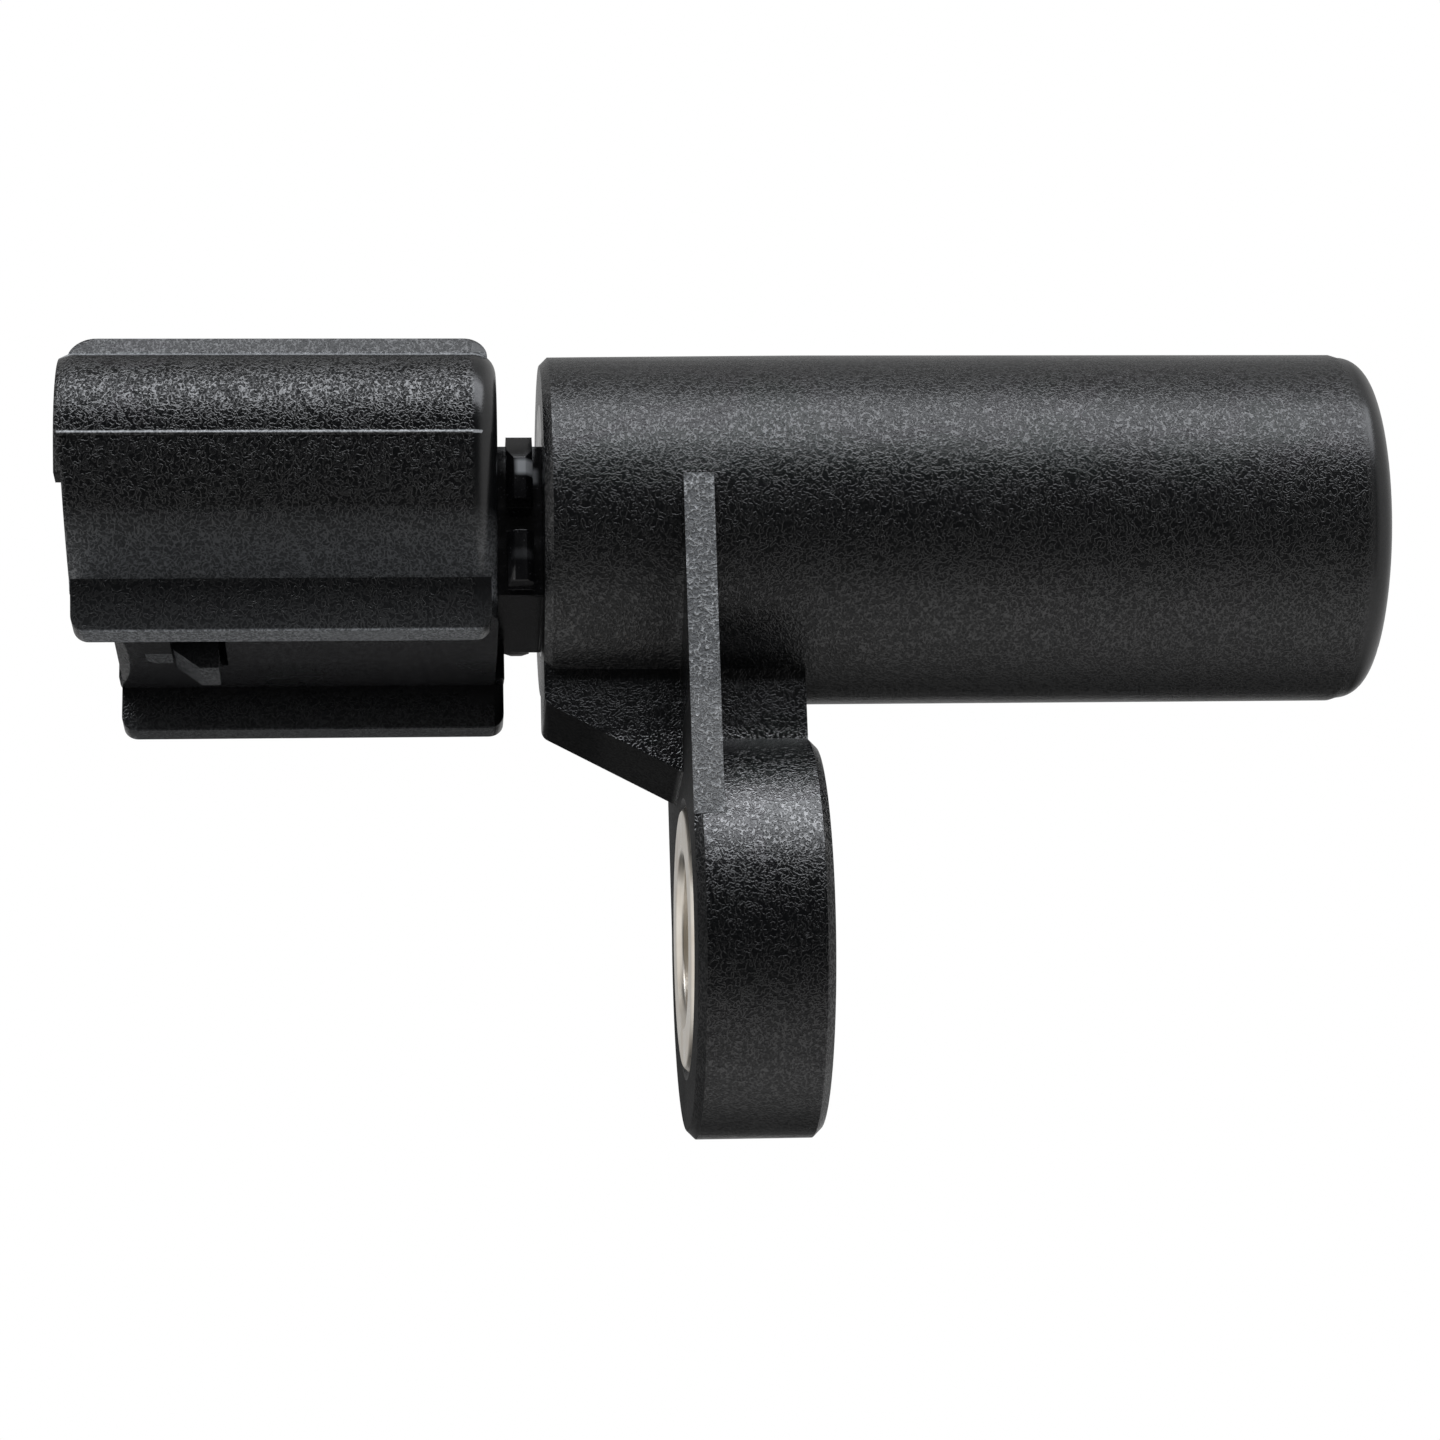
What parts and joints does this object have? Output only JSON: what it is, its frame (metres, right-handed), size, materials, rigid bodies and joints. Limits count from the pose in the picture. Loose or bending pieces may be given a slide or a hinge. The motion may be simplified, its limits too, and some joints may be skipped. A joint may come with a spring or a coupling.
{
  "type": "camshaft position sensor",
  "caption": "Camshaft position sensor: round probe barrel with a bushed bolt ear, a short neck and a round-shouldered male connector with guide rails and a lock nose.",
  "frame": {"origin": "on the probe barrel's axis, in the plane of the bolt ear's seat", "axes": "+X runs along the barrel to the sensing tip, +Z points away from the bolt ear, and +Y makes it right-handed"},
  "size_m": [0.0562, 0.0166, 0.0339],
  "materials": {
    "housing_plastic": "moulded black with a fine leather grain",
    "carrier_plastic": "smooth glossy black",
    "holder_plastic": "smooth dark grey",
    "bushing_steel": "satin turned, slightly warm plating",
    "tinned_brass": "bright tin plate",
    "plate_steel": "plain",
    "magnet_alloy": "sintered grey",
    "board_laminate": "green solder mask",
    "chip_ceramic": "tan ceramic",
    "chip_black": "moulded epoxy"
  },
  "bodies": {
    "root": {"sensor_body": "housing_plastic", "connector_shell": "housing_plastic", "terminal_carrier": "carrier_plastic", "compression_bushing": "bushing_steel", "terminal_supply": "tinned_brass", "terminal_signal": "tinned_brass", "terminal_ground": "tinned_brass", "circuit_board": "board_laminate", "supply_capacitor": "chip_ceramic", "output_capacitor": "chip_ceramic", "suppressor_diode": "chip_black", "pull_up_resistor": "chip_black", "magnet_holder": "holder_plastic", "bias_magnet": "magnet_alloy", "flux_plate": "plate_steel", "hall_element": "chip_black", "hall_lead_supply": "tinned_brass", "hall_lead_signal": "tinned_brass", "hall_lead_ground": "tinned_brass"}
  },
  "joints": []
}
